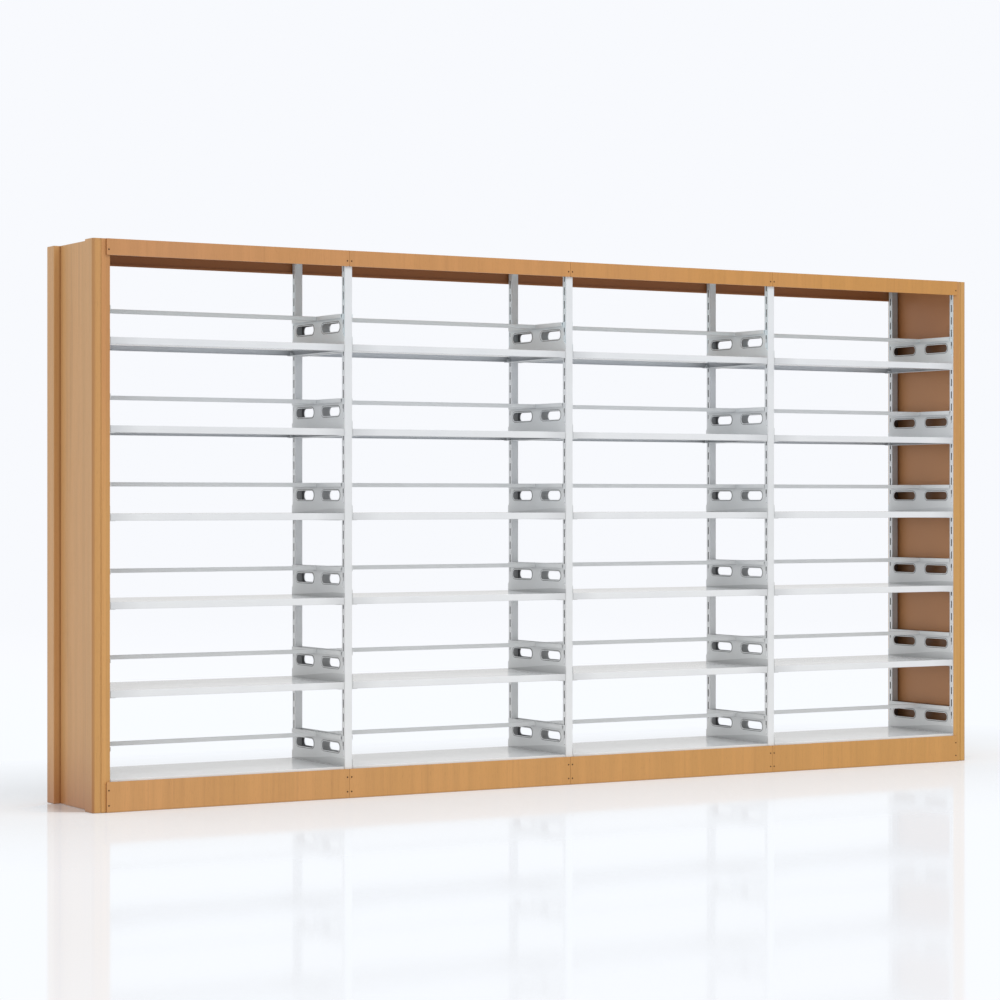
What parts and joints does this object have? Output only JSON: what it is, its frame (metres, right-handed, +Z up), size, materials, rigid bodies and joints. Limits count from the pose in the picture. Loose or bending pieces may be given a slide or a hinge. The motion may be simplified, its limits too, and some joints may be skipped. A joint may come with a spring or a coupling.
{
  "type": "library shelving",
  "caption": "Free-standing steel library shelving range with slotted columns, bracket-hung shelf boards, stop bars, wood-grain end panels, top hoods and plinths.",
  "frame": {"origin": "middle of the footprint, on the floor, below the middle frame", "axes": "+X along the range to the right as seen from the front, -Y to the front, +Z up"},
  "size_m": [4.104, 0.4708, 2.1],
  "materials": {
    "frame_steel": "light grey powder coat, satin",
    "bracket_steel": "light grey powder coat, satin",
    "board_steel": "light grey powder coat, satin",
    "woodgrain_steel": "light wood-grain transfer coat on steel, satin",
    "foot_plastic": "black moulded plastic",
    "screw_steel": "dark brown blackened screw heads"
  },
  "bodies": {
    "rack": {"column_front_1": "frame_steel", "column_front_2": "frame_steel", "column_front_3": "frame_steel", "column_front_4": "frame_steel", "column_front_5": "frame_steel", "column_rear_1": "frame_steel", "column_rear_2": "frame_steel", "column_rear_3": "frame_steel", "column_rear_4": "frame_steel", "column_rear_5": "frame_steel", "frame_ties": "frame_steel", "foot_caps": "foot_plastic", "brackets_bay_1": "bracket_steel", "brackets_bay_2": "bracket_steel", "brackets_bay_3": "bracket_steel", "brackets_bay_4": "bracket_steel", "stop_bars_bay_1": "bracket_steel", "stop_bars_bay_2": "bracket_steel", "stop_bars_bay_3": "bracket_steel", "stop_bars_bay_4": "bracket_steel", "end_panel_left": "woodgrain_steel", "end_panel_right": "woodgrain_steel", "panel_clips": "bracket_steel", "top_hood_1": "woodgrain_steel", "top_hood_2": "woodgrain_steel", "top_hood_3": "woodgrain_steel", "top_hood_4": "woodgrain_steel", "plinth_front_1": "woodgrain_steel", "plinth_front_2": "woodgrain_steel", "plinth_front_3": "woodgrain_steel", "plinth_front_4": "woodgrain_steel", "plinth_rear_1": "woodgrain_steel", "plinth_rear_2": "woodgrain_steel", "plinth_rear_3": "woodgrain_steel", "plinth_rear_4": "woodgrain_steel", "cover_screws": "screw_steel"},
    "board_b1_l1": {"shelf_board_b1_l1": "board_steel"},
    "board_b1_l2": {"shelf_board_b1_l2": "board_steel"},
    "board_b1_l3": {"shelf_board_b1_l3": "board_steel"},
    "board_b1_l4": {"shelf_board_b1_l4": "board_steel"},
    "board_b1_l5": {"shelf_board_b1_l5": "board_steel"},
    "board_b1_l6": {"shelf_board_b1_l6": "board_steel"},
    "board_b2_l1": {"shelf_board_b2_l1": "board_steel"},
    "board_b2_l2": {"shelf_board_b2_l2": "board_steel"},
    "board_b2_l3": {"shelf_board_b2_l3": "board_steel"},
    "board_b2_l4": {"shelf_board_b2_l4": "board_steel"},
    "board_b2_l5": {"shelf_board_b2_l5": "board_steel"},
    "board_b2_l6": {"shelf_board_b2_l6": "board_steel"},
    "board_b3_l1": {"shelf_board_b3_l1": "board_steel"},
    "board_b3_l2": {"shelf_board_b3_l2": "board_steel"},
    "board_b3_l3": {"shelf_board_b3_l3": "board_steel"},
    "board_b3_l4": {"shelf_board_b3_l4": "board_steel"},
    "board_b3_l5": {"shelf_board_b3_l5": "board_steel"},
    "board_b3_l6": {"shelf_board_b3_l6": "board_steel"},
    "board_b4_l1": {"shelf_board_b4_l1": "board_steel"},
    "board_b4_l2": {"shelf_board_b4_l2": "board_steel"},
    "board_b4_l3": {"shelf_board_b4_l3": "board_steel"},
    "board_b4_l4": {"shelf_board_b4_l4": "board_steel"},
    "board_b4_l5": {"shelf_board_b4_l5": "board_steel"},
    "board_b4_l6": {"shelf_board_b4_l6": "board_steel"}
  },
  "joints": [
    {"name": "lift_b1_l1", "type": "slide", "parent": "rack", "child": "board_b1_l1", "axis": [0, 0, 1], "range_m": [0, 0.07]},
    {"name": "lift_b1_l2", "type": "slide", "parent": "rack", "child": "board_b1_l2", "axis": [0, 0, 1], "range_m": [0, 0.07]},
    {"name": "lift_b1_l3", "type": "slide", "parent": "rack", "child": "board_b1_l3", "axis": [0, 0, 1], "range_m": [0, 0.07]},
    {"name": "lift_b1_l4", "type": "slide", "parent": "rack", "child": "board_b1_l4", "axis": [0, 0, 1], "range_m": [0, 0.07]},
    {"name": "lift_b1_l5", "type": "slide", "parent": "rack", "child": "board_b1_l5", "axis": [0, 0, 1], "range_m": [0, 0.07]},
    {"name": "lift_b1_l6", "type": "slide", "parent": "rack", "child": "board_b1_l6", "axis": [0, 0, 1], "range_m": [0, 0.07]},
    {"name": "lift_b2_l1", "type": "slide", "parent": "rack", "child": "board_b2_l1", "axis": [0, 0, 1], "range_m": [0, 0.07]},
    {"name": "lift_b2_l2", "type": "slide", "parent": "rack", "child": "board_b2_l2", "axis": [0, 0, 1], "range_m": [0, 0.07]},
    {"name": "lift_b2_l3", "type": "slide", "parent": "rack", "child": "board_b2_l3", "axis": [0, 0, 1], "range_m": [0, 0.07]},
    {"name": "lift_b2_l4", "type": "slide", "parent": "rack", "child": "board_b2_l4", "axis": [0, 0, 1], "range_m": [0, 0.07]},
    {"name": "lift_b2_l5", "type": "slide", "parent": "rack", "child": "board_b2_l5", "axis": [0, 0, 1], "range_m": [0, 0.07]},
    {"name": "lift_b2_l6", "type": "slide", "parent": "rack", "child": "board_b2_l6", "axis": [0, 0, 1], "range_m": [0, 0.07]},
    {"name": "lift_b3_l1", "type": "slide", "parent": "rack", "child": "board_b3_l1", "axis": [0, 0, 1], "range_m": [0, 0.07]},
    {"name": "lift_b3_l2", "type": "slide", "parent": "rack", "child": "board_b3_l2", "axis": [0, 0, 1], "range_m": [0, 0.07]},
    {"name": "lift_b3_l3", "type": "slide", "parent": "rack", "child": "board_b3_l3", "axis": [0, 0, 1], "range_m": [0, 0.07]},
    {"name": "lift_b3_l4", "type": "slide", "parent": "rack", "child": "board_b3_l4", "axis": [0, 0, 1], "range_m": [0, 0.07]},
    {"name": "lift_b3_l5", "type": "slide", "parent": "rack", "child": "board_b3_l5", "axis": [0, 0, 1], "range_m": [0, 0.07]},
    {"name": "lift_b3_l6", "type": "slide", "parent": "rack", "child": "board_b3_l6", "axis": [0, 0, 1], "range_m": [0, 0.07]},
    {"name": "lift_b4_l1", "type": "slide", "parent": "rack", "child": "board_b4_l1", "axis": [0, 0, 1], "range_m": [0, 0.07]},
    {"name": "lift_b4_l2", "type": "slide", "parent": "rack", "child": "board_b4_l2", "axis": [0, 0, 1], "range_m": [0, 0.07]},
    {"name": "lift_b4_l3", "type": "slide", "parent": "rack", "child": "board_b4_l3", "axis": [0, 0, 1], "range_m": [0, 0.07]},
    {"name": "lift_b4_l4", "type": "slide", "parent": "rack", "child": "board_b4_l4", "axis": [0, 0, 1], "range_m": [0, 0.07]},
    {"name": "lift_b4_l5", "type": "slide", "parent": "rack", "child": "board_b4_l5", "axis": [0, 0, 1], "range_m": [0, 0.07]},
    {"name": "lift_b4_l6", "type": "slide", "parent": "rack", "child": "board_b4_l6", "axis": [0, 0, 1], "range_m": [0, 0.07]}
  ]
}
